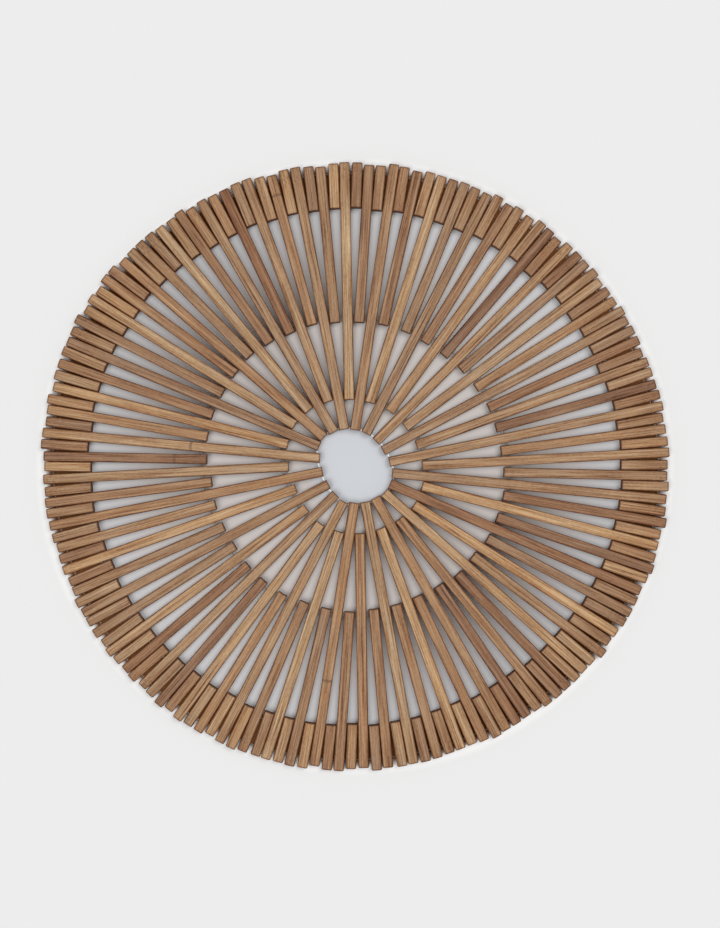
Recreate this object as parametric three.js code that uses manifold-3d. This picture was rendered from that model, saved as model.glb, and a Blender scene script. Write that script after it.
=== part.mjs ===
// Table mat of 160 straight wooden slats that lie like rays and are strung on clear lines.
// Millimetres, +Z up. The slats' undersides lie on Z = 0, and the origin is under the
// middle of the mat's outline. Angles run counter-clockwise from +X, seen from above.

import * as THREE from 'three';
import { mergeVertices } from 'three/addons/utils/BufferGeometryUtils.js';
import Module from 'manifold-3d';

const wasm = await Module();
wasm.setup();

const { degToRad } = THREE.MathUtils;

// Slats. The width is that of a slat which runs along Y.
const SLAT_COUNT = 160;
const SLAT_WIDTH = 5.8;
const SLAT_THICKNESS = 5;

// Outline. The mat is laid out round and then drawn in along Y by this ratio.
const DEPTH_RATIO = 0.966;

// Lengths around the mat, counter-clockwise. The order repeats 20 times.
const REPEAT = ['short', 'long', 'short', 'medium', 'short', 'longest', 'short', 'medium'];
const FIRST_ANGLE = -0.1;

// Rings on which slats end: mean radius, reach of its two long lobes, how far one end may
// stray, and which draw of chance it takes. A short slat's two ends stray together.
const RINGS = {
  rim: { radius: 189.7, lobeReach: 0.7, stray: 1.2, draw: 1 },
  short: { radius: 161.5, lobeReach: 1.05, stray: 1, draw: 1 },
  medium: { radius: 90.1, lobeReach: 1.95, stray: 0.9, draw: 2 },
  long: { radius: 41.5, lobeReach: 2.2, stray: 0.4, draw: 2 },
  longest: { radius: 22.4, lobeReach: 2.4, stray: 0.4, draw: 2 },
};
const LONG_LOBES_AT = -54;

// Smaller waves that all rings share: number of lobes, where one points, and its reach.
const SHARED_WAVES = [
  { lobes: 1, at: -27, reach: 0.4 },
  { lobes: 3, at: 7, reach: 0.75 },
  { lobes: 4, at: -27, reach: 0.7 },
];

// Shift of the slats off the true ray, counter-clockwise: number of lobes, where one points,
// and its reach. A wave of no lobes is the same all round.
const SIDE_WAVES = [
  { lobes: 0, at: 0, reach: 0.33 },
  { lobes: 1, at: -125, reach: 0.64 },
  { lobes: 3, at: -22, reach: 0.39 },
  { lobes: 4, at: 37, reach: 0.19 },
  { lobes: 5, at: 0, reach: 0.14 },
];

// Lean of the slats off the true ray, in waves about a pivot circle: number of lobes, where
// one points, and its reach in degrees.
const LEAN_PIVOT_RADIUS = 117;
const LEAN_WAVES = [
  { lobes: 0, at: 0, reach: -0.21 },
  { lobes: 1, at: 87, reach: 0.25 },
  { lobes: 2, at: -16, reach: 1.33 },
  { lobes: 3, at: 32, reach: 0.14 },
  { lobes: 4, at: -4, reach: 0.15 },
];

// Each slat's own lean, in degrees, about the circle where the slats are packed tightest.
const PACKED_RADIUS = 160;
const OWN_LEAN = { short: 1.9, medium: 0.45, long: 0.06, longest: 0.1 };
const OWN_LEAN_DRAW = 3;

// Clear line, four-sided here, and the bores that it runs through with play.
const LINE_THICKNESS = 0.7;
const BORE_SIZE = 1.4;
const LINE_BREAK = 0.3;
const LINE_HEIGHT = SLAT_THICKNESS / 2;

// Lines, from the rim inwards: the ring that each one follows and how far outside that ring
// it lies, the slats that it is fused to, and the slats that it passes through.
const LINES = [
  { ring: 'rim', outside: -5.7, holds: ['short', 'medium'], passes: ['long', 'longest'] },
  { ring: 'short', outside: 5.4, holds: ['short', 'medium'], passes: ['long', 'longest'] },
  { ring: 'medium', outside: 4.2, holds: ['medium'], passes: ['long', 'longest'] },
  { ring: 'long', outside: 3.8, holds: [], passes: ['long', 'longest'] },
  { ring: 'longest', outside: 1.6, holds: [], passes: ['longest'] },
];

// Short and medium slats hang together on their lines in lots, each from one longest slat
// to the next but one.
const REPEATS_IN_LOT = 2;
const LOT_SIZE = REPEATS_IN_LOT * REPEAT.length;
const LOT_START = REPEAT.indexOf('longest');

// Wood tones run from a pale honey to a mid brown.
const PALE_WOOD = new THREE.Color(0xc8a57a);
const DARK_WOOD = new THREE.Color(0x9c7555);
const WOOD_DRAW = 4;
const WOOD_ROUGHNESS = 0.55;
const CLEAR_LINE = new THREE.Color(0xdcdcd6);
const LINE_ROUGHNESS = 0.25;

/** Even chance number from -1 to 1 that is always the same for one slat and draw. */
function chance(index, draw) {
  const wide = Math.sin(index * 12.9898 + draw * 78.233) * 43758.5453;
  return 2 * (wide - Math.floor(wide)) - 1;
}

/** Sum at an angle, in radians, of waves whose crests point to set angles. */
function sumOfWaves(waves, angle) {
  return waves.reduce(
    (sum, wave) => sum + wave.reach * Math.cos(wave.lobes * (angle - degToRad(wave.at))),
    0,
  );
}

/** Radius of a ring at an angle, before the mat is drawn in along Y. */
function ringRadius(ring, angle) {
  const longLobes = ring.lobeReach * Math.cos(2 * (angle - degToRad(LONG_LOBES_AT)));
  return ring.radius + longLobes + sumOfWaves(SHARED_WAVES, angle);
}

/** Point on a slat's axis at a radius of the round layout, drawn in along Y. */
function axisPoint(slat, radius) {
  const aside = slat.shift
    + (radius - LEAN_PIVOT_RADIUS) * Math.tan(slat.sharedLean)
    + (radius - PACKED_RADIUS) * Math.tan(slat.ownLean);
  const x = radius * Math.cos(slat.angle) - aside * Math.sin(slat.angle);
  const y = radius * Math.sin(slat.angle) + aside * Math.cos(slat.angle);
  return new THREE.Vector2(x, y * DEPTH_RATIO);
}

/** Length, place, direction and width of one slat. */
function layOutSlat(index) {
  const kind = REPEAT[index % REPEAT.length];
  const angle = degToRad(FIRST_ANGLE + (index * 360) / SLAT_COUNT);
  const slat = {
    index,
    kind,
    angle,
    shift: sumOfWaves(SIDE_WAVES, angle),
    sharedLean: degToRad(sumOfWaves(LEAN_WAVES, angle)),
    ownLean: degToRad(OWN_LEAN[kind] * chance(index, OWN_LEAN_DRAW)),
  };
  const endOn = (ring) => axisPoint(slat, ringRadius(ring, angle) + ring.stray * chance(index, ring.draw));
  slat.outerEnd = endOn(RINGS.rim);
  slat.innerEnd = endOn(RINGS[kind]);
  slat.direction = slat.outerEnd.clone().sub(slat.innerEnd).angle();
  slat.length = slat.outerEnd.distanceTo(slat.innerEnd);
  const rayStretch = Math.hypot(Math.cos(angle), DEPTH_RATIO * Math.sin(angle));
  slat.width = (SLAT_WIDTH * DEPTH_RATIO) / rayStretch;
  return slat;
}

/** Point where a line meets a slat's axis. */
function crossing(line, slat) {
  return axisPoint(slat, ringRadius(RINGS[line.ring], slat.angle) + line.outside);
}

/** Point where the straight from one point to another cuts a slat's axis. */
function cutOfAxis(slat, from, to) {
  const along = to.clone().sub(from);
  const axis = slat.outerEnd.clone().sub(slat.innerEnd);
  const share = slat.innerEnd.clone().sub(from).cross(axis) / along.cross(axis);
  return from.clone().addScaledVector(along, share);
}

/**
 * Straight stretches of a line around the mat, each with the slat that it passes through,
 * if any. A line turns inside the slats that hold it, and otherwise midway between slats.
 */
function stretchesOf(line, slats) {
  const met = slats.filter((slat) => [...line.holds, ...line.passes].includes(slat.kind));
  const after = (place) => met[(place + 1) % met.length];
  const isHeld = (slat) => line.holds.includes(slat.kind);
  const turns = line.holds.length > 0
    ? met.filter(isHeld).map((slat) => ({ slat, point: crossing(line, slat) }))
    : met.map((slat, place) => ({
      slat,
      point: crossing(line, slat).lerp(crossing(line, after(place)), 0.5),
    }));
  return turns.map((turn, place) => {
    const next = turns[(place + 1) % turns.length];
    const passed = after(met.indexOf(turn.slat));
    return {
      line,
      from: turn.point,
      to: next.point,
      startSlat: turn.slat,
      endSlat: next.slat,
      passed: isHeld(passed) ? null : passed,
    };
  });
}

/** Closed solid of a three.js geometry, for joining and cutting. */
function toSolid(geometry) {
  const bare = geometry.index ? geometry.toNonIndexed() : geometry.clone();
  bare.deleteAttribute('normal');
  bare.deleteAttribute('uv');
  const merged = mergeVertices(bare);
  return new wasm.Manifold(new wasm.Mesh({
    numProp: 3,
    vertProperties: new Float32Array(merged.attributes.position.array),
    triVerts: new Uint32Array(merged.index.array),
  }));
}

/** three.js geometry of a solid. */
function toGeometry(solid) {
  const { vertProperties, triVerts } = solid.getMesh();
  const geometry = new THREE.BufferGeometry();
  geometry.setAttribute('position', new THREE.BufferAttribute(new Float32Array(vertProperties), 3));
  geometry.setIndex(new THREE.BufferAttribute(new Uint32Array(triVerts), 1));
  geometry.computeVertexNormals();
  return geometry;
}

/** Four-sided bar of a given thickness between two points, at the lines' height. */
function barGeometry(from, to, thickness) {
  const bar = new THREE.BoxGeometry(from.distanceTo(to), thickness, thickness);
  bar.rotateZ(to.clone().sub(from).angle());
  return bar.translate((from.x + to.x) / 2, (from.y + to.y) / 2, LINE_HEIGHT);
}

/** Bar that reaches past a slat's two sides, along the stretch that passes through it. */
function boreGeometry(slat, stretch) {
  const middle = cutOfAxis(slat, stretch.from, stretch.to);
  const reach = stretch.to.clone().sub(stretch.from).setLength(slat.width);
  return barGeometry(middle.clone().sub(reach), middle.clone().add(reach), BORE_SIZE);
}

/** Slat as a plain bar along +X that rests on Z = 0, with its middle at the origin. */
function slatGeometry(slat) {
  const bar = new THREE.BoxGeometry(slat.length, slat.width, SLAT_THICKNESS);
  return bar.translate(0, 0, SLAT_THICKNESS / 2);
}

/** Transform that lays a slat in its place on the mat. */
function slatPlacement(slat) {
  const middle = slat.outerEnd.clone().lerp(slat.innerEnd, 0.5);
  return new THREE.Matrix4()
    .makeRotationZ(slat.direction)
    .setPosition(middle.x, middle.y, 0);
}

/** Wood, its tone drawn for one slat or one lot. */
function woodMaterial(index) {
  const darkness = (1 + chance(index, WOOD_DRAW)) / 2;
  return new THREE.MeshStandardMaterial({
    color: PALE_WOOD.clone().lerp(DARK_WOOD, darkness),
    roughness: WOOD_ROUGHNESS,
    metalness: 0,
    flatShading: true,
  });
}

/** Clear line. */
function lineMaterial() {
  return new THREE.MeshStandardMaterial({
    color: CLEAR_LINE,
    roughness: LINE_ROUGHNESS,
    metalness: 0,
  });
}

/** Named mesh of a long or longest slat with its bores. */
function makeBoredSlat(slat, name, stretches) {
  const placement = slatPlacement(slat);
  const toSlat = placement.clone().invert();
  const bores = stretches
    .filter((stretch) => stretch.passed === slat)
    .map((stretch) => toSolid(boreGeometry(slat, stretch).applyMatrix4(toSlat)));
  const wood = bores.reduce((solid, bore) => solid.subtract(bore), toSolid(slatGeometry(slat)));
  const mesh = new THREE.Mesh(toGeometry(wood), woodMaterial(slat.index));
  mesh.applyMatrix4(placement);
  mesh.name = name;
  return mesh;
}

/** Number of the lot that a slat belongs to. */
function lotOf(slat) {
  return Math.floor(((slat.index - LOT_START + SLAT_COUNT) % SLAT_COUNT) / LOT_SIZE);
}

/** Bars of a lot's lines. A stretch that leaves the lot ends in the bore between two lots. */
function lotBars(lot, stretches) {
  const bars = [];
  for (const { from, to, startSlat, endSlat, passed } of stretches) {
    const starts = lotOf(startSlat) === lot;
    const ends = lotOf(endSlat) === lot;
    if (starts && ends) {
      bars.push(barGeometry(from, to, LINE_THICKNESS));
    } else if (starts || ends) {
      const held = starts ? from : to;
      const middle = cutOfAxis(passed, from, to);
      const gap = held.clone().sub(middle).setLength(LINE_BREAK / 2);
      bars.push(barGeometry(held, middle.add(gap), LINE_THICKNESS));
    }
  }
  return bars;
}

/** Named mesh of one lot: its short and medium slats, fused to their stretches of line. */
function makeLot(lot, slats, stretches) {
  const members = slats.filter((slat) => lotOf(slat) === lot);
  const bars = lotBars(lot, stretches);
  const wood = members.map((slat) => slatGeometry(slat).applyMatrix4(slatPlacement(slat)));
  const solid = [...wood, ...bars].map(toSolid).reduce((sum, piece) => sum.add(piece));
  const mesh = new THREE.Mesh(toGeometry(solid), woodMaterial(SLAT_COUNT + lot));
  mesh.name = `outer_slats_${numeral(lot)}`;
  return mesh;
}

/** Named mesh of a line that runs around the mat in one closed strand. */
function makeClosedLine(line, slats) {
  const points = stretchesOf(line, slats).map((stretch) => stretch.from);
  const edge = (side) => points.map((point, place) => {
    const before = points.at(place - 1);
    const beyond = points[(place + 1) % points.length];
    const outward = beyond.clone().sub(before).rotateAround(new THREE.Vector2(), -Math.PI / 2);
    return point.clone().add(outward.setLength((side * LINE_THICKNESS) / 2));
  });
  const outline = new THREE.Shape(edge(1));
  outline.holes.push(new THREE.Path(edge(-1)));
  const strand = new THREE.ExtrudeGeometry(outline, { depth: LINE_THICKNESS, bevelEnabled: false });
  const mesh = new THREE.Mesh(toGeometry(toSolid(strand)), lineMaterial());
  mesh.position.z = LINE_HEIGHT - LINE_THICKNESS / 2;
  mesh.name = `line_${line.ring}_ends`;
  return mesh;
}

/** Two-figure number, counted from 1, for a name. */
function numeral(place) {
  return String(place + 1).padStart(2, '0');
}

/** The whole mat, its outline centred on the origin. */
function makeMat() {
  const slats = Array.from({ length: SLAT_COUNT }, (_, index) => layOutSlat(index));
  const stretches = LINES.flatMap((line) => stretchesOf(line, slats));
  const held = slats.filter((slat) => ['short', 'medium'].includes(slat.kind));
  const heldStretches = stretches.filter((stretch) => stretch.line.holds.length > 0);

  const mat = new THREE.Group();
  for (const kind of ['longest', 'long']) {
    slats.filter((slat) => slat.kind === kind).forEach((slat, place) => {
      mat.add(makeBoredSlat(slat, `${kind}_slat_${numeral(place)}`, stretches));
    });
  }
  for (let lot = 0; lot < SLAT_COUNT / LOT_SIZE; lot += 1) {
    mat.add(makeLot(lot, held, heldStretches));
  }
  for (const line of LINES.filter(({ holds }) => holds.length === 0)) {
    mat.add(makeClosedLine(line, slats));
  }

  const middle = new THREE.Box3().setFromObject(mat, true).getCenter(new THREE.Vector3());
  mat.position.set(-middle.x, -middle.y, 0);
  return mat;
}

export default makeMat();
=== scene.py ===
"""Scene of a round table mat: straight bamboo slats laid like rays on clear lines.

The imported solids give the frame. The slats and lines are laid out from the same sizes as
those solids, with rounded edges, drilled holes, cut ends and grain added. Blender's
lengths are metres. Sizes of the mat's plan are millimetres and degrees, as in the solids.
"""

import logging
import math
from collections.abc import Callable, Iterable, Sequence
from dataclasses import dataclass, field
from enum import Enum
from typing import Any

import bmesh
import bpy
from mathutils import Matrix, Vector


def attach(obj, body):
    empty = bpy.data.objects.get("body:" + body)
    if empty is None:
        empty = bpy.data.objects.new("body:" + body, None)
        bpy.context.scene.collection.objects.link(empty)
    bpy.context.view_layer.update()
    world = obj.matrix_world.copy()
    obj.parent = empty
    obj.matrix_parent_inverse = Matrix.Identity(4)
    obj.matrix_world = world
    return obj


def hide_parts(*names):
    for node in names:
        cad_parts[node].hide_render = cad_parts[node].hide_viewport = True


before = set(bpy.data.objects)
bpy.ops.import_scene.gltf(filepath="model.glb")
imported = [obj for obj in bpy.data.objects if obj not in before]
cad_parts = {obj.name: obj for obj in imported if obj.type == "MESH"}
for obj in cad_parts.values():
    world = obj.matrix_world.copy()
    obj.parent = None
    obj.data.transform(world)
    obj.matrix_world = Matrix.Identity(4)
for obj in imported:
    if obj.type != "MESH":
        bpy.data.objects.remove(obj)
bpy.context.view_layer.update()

LOG = logging.getLogger("table_mat")
MM = 0.001
BODY = "root"


def linear(red: float, green: float, blue: float) -> tuple[float, float, float, float]:
    """Turn a display colour into a scene colour.

    Args:
        red: Red from 0 to 255.
        green: Green from 0 to 255.
        blue: Blue from 0 to 255.

    Returns:
        Linear red, green and blue, and an alpha of 1.
    """
    shares = [level / 255 for level in (red, green, blue)]
    curve = [s / 12.92 if s <= 0.04045 else ((s + 0.055) / 1.055) ** 2.4 for s in shares]
    return (curve[0], curve[1], curve[2], 1.0)


# Plan of the mat


class SlatKind(Enum):
    """Lengths in which the slats are cut."""

    SHORT = "short"
    MEDIUM = "medium"
    LONG = "long"
    LONGEST = "longest"


class RingName(Enum):
    """Rings around the mat on which slats end."""

    RIM = "rim"
    SHORT_TIPS = "short"
    MEDIUM_TIPS = "medium"
    LONG_TIPS = "long"
    LONGEST_TIPS = "longest"


@dataclass(frozen=True)
class Wave:
    """Wave around the mat: its number of lobes, where one points, and its reach."""

    lobes: int
    at: float
    reach: float

    def height(self, angle: float) -> float:
        """Height of the wave at an angle in radians."""
        return self.reach * math.cos(self.lobes * (angle - math.radians(self.at)))


@dataclass(frozen=True)
class Ring:
    """Ring on which slats end, with how far one end may stray and which draw it takes."""

    radius: float
    lobe_reach: float
    stray: float
    draw: int


@dataclass(frozen=True)
class Line:
    """Line through the slats: the ring it follows, how far outside it, and whom it meets."""

    name: str
    ring: RingName
    outside: float
    meets: tuple[SlatKind, ...]
    stands_for: tuple[str, ...] = ()


@dataclass(frozen=True)
class Slat:
    """One slat as it lies on the mat, in metres and radians."""

    index: int
    kind: SlatKind
    outer_end: Vector
    heading: float
    length: float
    width: float
    stations: dict[int, float]


ALL_KINDS = tuple(SlatKind)
INNER_KINDS = (SlatKind.MEDIUM, SlatKind.LONG, SlatKind.LONGEST)
LONG_KINDS = (SlatKind.LONG, SlatKind.LONGEST)

LINES = (
    Line("line_at_rim", RingName.RIM, -5.7, ALL_KINDS),
    Line("line_at_short_tips", RingName.SHORT_TIPS, 5.4, ALL_KINDS),
    Line("line_at_medium_tips", RingName.MEDIUM_TIPS, 4.2, INNER_KINDS),
    Line("line_at_long_tips", RingName.LONG_TIPS, 3.8, LONG_KINDS, ("line_long_ends",)),
    Line(
        "line_at_longest_tips",
        RingName.LONGEST_TIPS,
        1.6,
        (SlatKind.LONGEST,),
        ("line_longest_ends",),
    ),
)


def default_rings() -> dict[RingName, Ring]:
    """List the rings of the mat, from the rim inwards.

    Returns:
        The ring for each name, in millimetres.
    """
    return {
        RingName.RIM: Ring(189.7, 0.7, 1.2, 1),
        RingName.SHORT_TIPS: Ring(161.5, 1.05, 1.0, 1),
        RingName.MEDIUM_TIPS: Ring(90.1, 1.95, 0.9, 2),
        RingName.LONG_TIPS: Ring(41.5, 2.2, 0.4, 2),
        RingName.LONGEST_TIPS: Ring(22.4, 2.4, 0.4, 2),
    }


@dataclass
class MatPlan:
    """Where each slat and line lies. Sizes are millimetres and degrees."""

    slat_count: int = 160
    slat_width: float = 5.8
    clearance: float = 0.14
    slat_thickness: float = 5.0
    depth_ratio: float = 0.966
    first_angle: float = -0.1
    long_lobes_at: float = -54.0
    lean_pivot_radius: float = 117.0
    packed_radius: float = 160.0
    own_lean_draw: int = 3
    chance_step: float = 12.9898
    draw_step: float = 78.233
    chance_spread: float = 43758.5453
    order: tuple[SlatKind, ...] = (
        SlatKind.SHORT,
        SlatKind.LONG,
        SlatKind.SHORT,
        SlatKind.MEDIUM,
        SlatKind.SHORT,
        SlatKind.LONGEST,
        SlatKind.SHORT,
        SlatKind.MEDIUM,
    )
    shared_waves: tuple[Wave, ...] = (Wave(1, -27, 0.4), Wave(3, 7, 0.75), Wave(4, -27, 0.7))
    side_waves: tuple[Wave, ...] = (
        Wave(0, 0, 0.33),
        Wave(1, -125, 0.64),
        Wave(3, -22, 0.39),
        Wave(4, 37, 0.19),
        Wave(5, 0, 0.14),
    )
    lean_waves: tuple[Wave, ...] = (
        Wave(0, 0, -0.21),
        Wave(1, 87, 0.25),
        Wave(2, -16, 1.33),
        Wave(3, 32, 0.14),
        Wave(4, -4, 0.15),
    )
    own_lean: dict[SlatKind, float] = field(
        default_factory=lambda: {
            SlatKind.SHORT: 1.9,
            SlatKind.MEDIUM: 0.45,
            SlatKind.LONG: 0.06,
            SlatKind.LONGEST: 0.1,
        }
    )
    rings: dict[RingName, Ring] = field(default_factory=default_rings)

    def chance(self, index: int, draw: int) -> float:
        """Even chance number from -1 to 1.

        Args:
            index: Number of the slat.
            draw: Which of the slat's chance numbers to take.

        Returns:
            A number that is always the same for one slat and draw.
        """
        wide = math.sin(index * self.chance_step + draw * self.draw_step) * self.chance_spread
        return 2 * (wide - math.floor(wide)) - 1

    def kind_of(self, index: int) -> SlatKind:
        """Kind of a slat."""
        return self.order[index % len(self.order)]

    def angle_of(self, index: int) -> float:
        """Angle of a slat's ray, in radians."""
        return math.radians(self.first_angle + index * 360 / self.slat_count)

    def ring_radius(self, ring: Ring, angle: float) -> float:
        """Radius of a ring before the mat is drawn in along Y.

        Args:
            ring: The ring.
            angle: Angle around the mat, in radians.

        Returns:
            The radius in millimetres.
        """
        long_lobes = Wave(2, self.long_lobes_at, ring.lobe_reach).height(angle)
        shared = sum(wave.height(angle) for wave in self.shared_waves)
        return ring.radius + long_lobes + shared

    def axis_point(self, index: int, radius: float) -> Vector:
        """Point on a slat's axis.

        Args:
            index: Number of the slat.
            radius: Radius of the round layout, in millimetres.

        Returns:
            The point in millimetres, before the plan is centred.
        """
        angle = self.angle_of(index)
        kind = self.kind_of(index)
        shared = math.radians(sum(wave.height(angle) for wave in self.lean_waves))
        own = math.radians(self.own_lean[kind] * self.chance(index, self.own_lean_draw))
        aside = sum(wave.height(angle) for wave in self.side_waves)
        aside += (radius - self.lean_pivot_radius) * math.tan(shared)
        aside += (radius - self.packed_radius) * math.tan(own)
        x = radius * math.cos(angle) - aside * math.sin(angle)
        y = radius * math.sin(angle) + aside * math.cos(angle)
        return Vector((x, y * self.depth_ratio))

    def end_point(self, index: int, name: RingName) -> Vector:
        """Point where a slat ends near a ring.

        Args:
            index: Number of the slat.
            name: The ring.

        Returns:
            The point in millimetres, before the plan is centred.
        """
        ring = self.rings[name]
        stray = ring.stray * self.chance(index, ring.draw)
        return self.axis_point(index, self.ring_radius(ring, self.angle_of(index)) + stray)

    def crossing(self, line: Line, index: int) -> Vector:
        """Point where a line meets a slat's axis.

        Args:
            line: The line.
            index: Number of the slat.

        Returns:
            The point in millimetres, before the plan is centred.
        """
        ring = self.rings[line.ring]
        radius = self.ring_radius(ring, self.angle_of(index)) + line.outside
        return self.axis_point(index, radius)

    def width_of(self, index: int) -> float:
        """Width of a slat in the solids, after the mat is drawn in along Y.

        Args:
            index: Number of the slat.

        Returns:
            The width in millimetres.
        """
        angle = self.angle_of(index)
        stretch = math.hypot(math.cos(angle), self.depth_ratio * math.sin(angle))
        return self.slat_width * self.depth_ratio / stretch

    def spacing_after(self, index: int) -> float:
        """Distance between the axes of a slat and the next one, where they lie closest.

        Args:
            index: Number of the slat.

        Returns:
            The distance in millimetres, taken at the short slat's inner end.
        """
        pair = [index % self.slat_count, (index + 1) % self.slat_count]
        pair.sort(key=lambda number: self.kind_of(number) is not SlatKind.SHORT)
        short, other = pair
        outer = self.end_point(other, RingName.RIM)
        inner = self.end_point(other, RingName(self.kind_of(other).value))
        reach = self.end_point(short, RingName.SHORT_TIPS) - outer
        return abs(reach.cross((outer - inner).normalized()))

    def room_of(self, index: int) -> float:
        """Widest that a slat can be before it touches one next to it, in millimetres."""
        return min(self.spacing_after(index - 1), self.spacing_after(index))

    def middle(self) -> Vector:
        """Middle of the outline's box, which the frame puts at its origin.

        Returns:
            The point in millimetres.
        """
        corners = []
        for index in range(self.slat_count):
            kind = self.kind_of(index)
            outer = self.end_point(index, RingName.RIM)
            inner = self.end_point(index, RingName(kind.value))
            side = (outer - inner).normalized().orthogonal() * self.width_of(index) / 2
            corners += [outer + side, outer - side]
        low = [min(corner[axis] for corner in corners) for axis in range(2)]
        high = [max(corner[axis] for corner in corners) for axis in range(2)]
        return Vector(((low[0] + high[0]) / 2, (low[1] + high[1]) / 2))

    def slats(self) -> list[Slat]:
        """Lay every slat of the mat.

        Returns:
            The slats in order around the mat.
        """
        middle = self.middle()
        laid = []
        for index in range(self.slat_count):
            kind = self.kind_of(index)
            outer = self.end_point(index, RingName.RIM)
            inner = self.end_point(index, RingName(kind.value))
            axis = outer - inner
            stations = {
                number: (self.crossing(line, index) - outer).length * MM
                for number, line in enumerate(LINES)
                if kind in line.meets
            }
            laid.append(
                Slat(
                    index=index,
                    kind=kind,
                    outer_end=(outer - middle) * MM,
                    heading=math.atan2(axis.y, axis.x),
                    length=axis.length * MM,
                    width=(self.room_of(index) - self.clearance) * MM,
                    stations=stations,
                )
            )
        return laid

    def line_points(self, line: Line) -> list[Vector]:
        """Points of a line in metres, half-way up each slat that it meets.

        Args:
            line: The line.

        Returns:
            The points in order around the mat.
        """
        middle = self.middle()
        height = self.slat_thickness / 2
        met = [index for index in range(self.slat_count) if self.kind_of(index) in line.meets]
        flat = [self.crossing(line, index) - middle for index in met]
        return [Vector((point.x, point.y, height)) * MM for point in flat]


# Node trees


class Wiring:
    """Adds nodes to one tree and links them."""

    def __init__(self, tree: bpy.types.NodeTree) -> None:
        """Keep the tree that the nodes go into."""
        self.tree = tree

    @staticmethod
    def socket(sockets: Iterable[Any], key: str | int) -> Any:
        """Find a node's socket.

        Args:
            sockets: The node's inputs or outputs.
            key: The socket's place or name.

        Returns:
            The socket at that place, or the first one in use with that name.
        """
        if isinstance(key, int):
            return sockets[key]
        return next(s for s in sockets if s.name == key and s.enabled)

    def add(
        self, kind: str, inputs: dict[str | int, Any] | None = None, **settings: Any
    ) -> bpy.types.Node:
        """Add a node.

        Args:
            kind: Blender's name for the type of node.
            inputs: Value, or socket to link from, for each of the node's inputs.
            settings: Properties of the node itself.

        Returns:
            The node.
        """
        node = self.tree.nodes.new(kind)
        for name, value in settings.items():
            setattr(node, name, value)
        for key, value in (inputs or {}).items():
            target = self.socket(node.inputs, key)
            if isinstance(value, bpy.types.NodeSocket):
                self.tree.links.new(value, target)
            else:
                target.default_value = value
        return node

    def math(self, operation: str, *terms: Any) -> Any:
        """Add a maths node.

        Args:
            operation: Blender's name for the operation.
            terms: Numbers or sockets that it works on.

        Returns:
            The result's socket.
        """
        node = self.add("ShaderNodeMath", dict(enumerate(terms)), operation=operation)
        return node.outputs[0]

    def vector(self, operation: str, *terms: Any) -> Any:
        """Add a vector maths node.

        Args:
            operation: Blender's name for the operation.
            terms: Vectors or sockets that it works on.

        Returns:
            The resulting vector's socket.
        """
        node = self.add("ShaderNodeVectorMath", dict(enumerate(terms)), operation=operation)
        return node.outputs["Vector"]

    def parts(self, vector: Any) -> Sequence[Any]:
        """Split a vector into its three parts."""
        return self.add("ShaderNodeSeparateXYZ", {0: vector}).outputs

    def joined(self, x: Any, y: Any, z: Any) -> Any:
        """Join three numbers or sockets into a vector."""
        return self.add("ShaderNodeCombineXYZ", {0: x, 1: y, 2: z}).outputs[0]

    def ramp(self, value: Any, low: float, high: float, smooth: bool = True) -> Any:
        """Add a ramp from 0 to 1.

        Args:
            value: Socket that the ramp follows.
            low: Value where the result is 0.
            high: Value where the result is 1. It may be below the first.
            smooth: Whether the ramp eases in and out.

        Returns:
            The result's socket.
        """
        node = self.add(
            "ShaderNodeMapRange",
            {"Value": value, "From Min": low, "From Max": high},
            interpolation_type="SMOOTHSTEP" if smooth else "LINEAR",
        )
        return node.outputs["Result"]

    def mix(self, share: Any, first: Any, second: Any, blend: str = "MIX") -> Any:
        """Mix two colours.

        Args:
            share: How much of the second colour there is.
            first: Colour or socket.
            second: Colour or socket.
            blend: Blender's name for the way of mixing.

        Returns:
            The mixed colour's socket.
        """
        node = self.add("ShaderNodeMix", data_type="RGBA", blend_type=blend)
        for place, value in ((0, share), (6, first), (7, second)):
            if isinstance(value, bpy.types.NodeSocket):
                self.tree.links.new(value, node.inputs[place])
            else:
                node.inputs[place].default_value = value
        return node.outputs[2]


class Side(Enum):
    """Side of a node group on which a socket lies."""

    IN = "INPUT"
    OUT = "OUTPUT"


@dataclass
class NodeGroup:
    """Node group with named sockets, each given as a name and a short type."""

    name: str
    tree_type: str
    inputs: dict[str, str]
    outputs: dict[str, str]

    def open(self) -> tuple[bpy.types.NodeTree, Wiring, Sequence[Any]]:
        """Make the empty group.

        Returns:
            The group, its wiring and the sockets that bring its inputs.
        """
        tree = bpy.data.node_groups.new(self.name, self.tree_type)
        for side, sockets in ((Side.IN, self.inputs), (Side.OUT, self.outputs)):
            for name, kind in sockets.items():
                tree.interface.new_socket(
                    name=name, in_out=side.value, socket_type=f"NodeSocket{kind}"
                )
        wiring = Wiring(tree)
        return tree, wiring, wiring.add("NodeGroupInput").outputs


def set_inputs(modifier: bpy.types.Modifier, values: dict[str, Any]) -> None:
    """Set a Geometry Nodes modifier's inputs by their identifiers.

    Args:
        modifier: The modifier, with its tree in place.
        values: Value for each input's name.
    """
    for item in modifier.node_group.interface.items_tree:
        if item.item_type == "SOCKET" and item.name in values:
            modifier[item.identifier] = values[item.name]


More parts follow.
